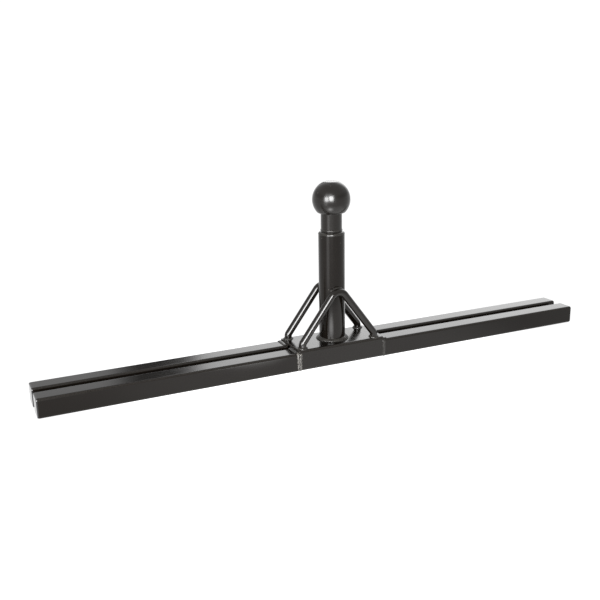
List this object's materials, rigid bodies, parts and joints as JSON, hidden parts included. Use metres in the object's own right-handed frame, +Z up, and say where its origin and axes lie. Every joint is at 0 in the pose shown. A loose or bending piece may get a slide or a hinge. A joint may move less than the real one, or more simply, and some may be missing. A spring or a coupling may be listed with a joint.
{
  "type": "tow ball adapter bar",
  "caption": "Welded bar of paired square tubes with long bolt slots and a tow ball on a braced round post.",
  "frame": {"origin": "on the plane the bar rests on, directly under the post's axis, at the middle of the bar", "axes": "+X along the bar to the right, +Y across the bar to the rear rails, +Z up along the post"},
  "size_m": [0.7892, 0.0646, 0.2407],
  "materials": {
    "black_coat": "semi-gloss black powder coat over steel",
    "coated_weld": "black powder coat over rippled weld beads",
    "ball_coat": "gloss black coat on a turned steel ball",
    "black_plastic": "gloss black moulded polyethylene"
  },
  "bodies": {
    "root": {"centre_block": "black_coat", "post_tube": "black_coat", "tow_ball": "ball_coat", "weld_post_base": "coated_weld", "weld_ball_neck": "coated_weld", "front_brace": "black_coat", "weld_apex_front": "coated_weld", "front_rail_left": "black_coat", "end_plug_front_left": "black_plastic", "weld_foot_front_left": "coated_weld", "weld_seam_front_left": "coated_weld", "front_rail_right": "black_coat", "end_plug_front_right": "black_plastic", "weld_foot_front_right": "coated_weld", "weld_seam_front_right": "coated_weld", "rear_brace": "black_coat", "weld_apex_rear": "coated_weld", "rear_rail_left": "black_coat", "end_plug_rear_left": "black_plastic", "weld_foot_rear_left": "coated_weld", "weld_seam_rear_left": "coated_weld", "rear_rail_right": "black_coat", "end_plug_rear_right": "black_plastic", "weld_foot_rear_right": "coated_weld", "weld_seam_rear_right": "coated_weld"}
  },
  "joints": []
}
